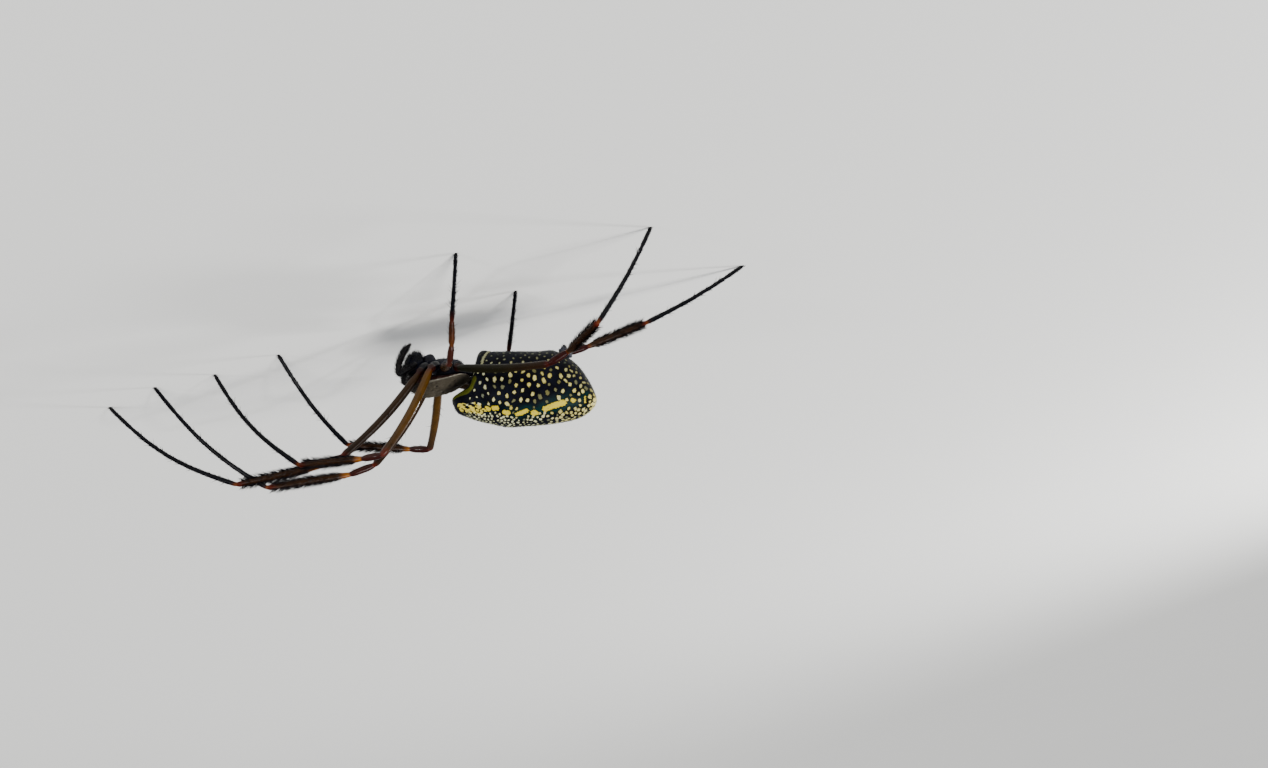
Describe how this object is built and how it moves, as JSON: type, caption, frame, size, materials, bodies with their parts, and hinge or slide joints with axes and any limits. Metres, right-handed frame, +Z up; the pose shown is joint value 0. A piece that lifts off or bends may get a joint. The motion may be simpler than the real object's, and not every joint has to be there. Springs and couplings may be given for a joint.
{
  "type": "golden silk orb weaver",
  "caption": "Still, life-size female orb-weaving spider standing on the tips of its long thin legs, with a long spotted abdomen raised behind.",
  "frame": {"origin": "on the floor under the middle of the whole stance", "axes": "+X to the head end, +Y to the spider's left, +Z up"},
  "size_m": [0.0902, 0.0408, 0.0193],
  "materials": {
    "abdomen": "satin cuticle, near black with cream and yellow spots",
    "prosoma": "dark cuticle under short silvery hair",
    "mouthparts": "glossy black cuticle",
    "eyes": "polished black",
    "leg_upper": "glossy amber to red brown cuticle",
    "leg_lower": "blue-black cuticle with dark bristles",
    "spinnerets": "dark blue-grey, finely haired"
  },
  "bodies": {
    "root": {"prosoma": "prosoma", "abdomen": "abdomen", "spinnerets": "spinnerets", "chelicera_right": "mouthparts", "chelicera_left": "mouthparts", "palp_right_femur": "mouthparts", "palp_right_tarsus": "mouthparts", "palp_left_femur": "mouthparts", "palp_left_tarsus": "mouthparts", "eye_front_middle_right": "eyes", "eye_front_middle_left": "eyes", "eye_rear_middle_right": "eyes", "eye_rear_middle_left": "eyes", "eye_front_side_right": "eyes", "eye_front_side_left": "eyes", "eye_rear_side_right": "eyes", "eye_rear_side_left": "eyes", "leg_1_right_coxa": "leg_upper", "leg_1_right_femur": "leg_upper", "leg_1_right_patella": "leg_upper", "leg_1_right_tibia": "leg_lower", "leg_1_right_metatarsus": "leg_lower", "leg_2_right_coxa": "leg_upper", "leg_2_right_femur": "leg_upper", "leg_2_right_patella": "leg_upper", "leg_2_right_tibia": "leg_lower", "leg_2_right_metatarsus": "leg_lower", "leg_3_right_coxa": "leg_upper", "leg_3_right_femur": "leg_upper", "leg_3_right_patella": "leg_upper", "leg_3_right_tibia": "leg_lower", "leg_3_right_metatarsus": "leg_lower", "leg_4_right_coxa": "leg_upper", "leg_4_right_femur": "leg_upper", "leg_4_right_patella": "leg_upper", "leg_4_right_tibia": "leg_lower", "leg_4_right_metatarsus": "leg_lower", "leg_1_left_coxa": "leg_upper", "leg_1_left_femur": "leg_upper", "leg_1_left_patella": "leg_upper", "leg_1_left_tibia": "leg_lower", "leg_1_left_metatarsus": "leg_lower", "leg_2_left_coxa": "leg_upper", "leg_2_left_femur": "leg_upper", "leg_2_left_patella": "leg_upper", "leg_2_left_tibia": "leg_lower", "leg_2_left_metatarsus": "leg_lower", "leg_3_left_coxa": "leg_upper", "leg_3_left_femur": "leg_upper", "leg_3_left_patella": "leg_upper", "leg_3_left_tibia": "leg_lower", "leg_3_left_metatarsus": "leg_lower", "leg_4_left_coxa": "leg_upper", "leg_4_left_femur": "leg_upper", "leg_4_left_patella": "leg_upper", "leg_4_left_tibia": "leg_lower", "leg_4_left_metatarsus": "leg_lower"}
  },
  "joints": []
}
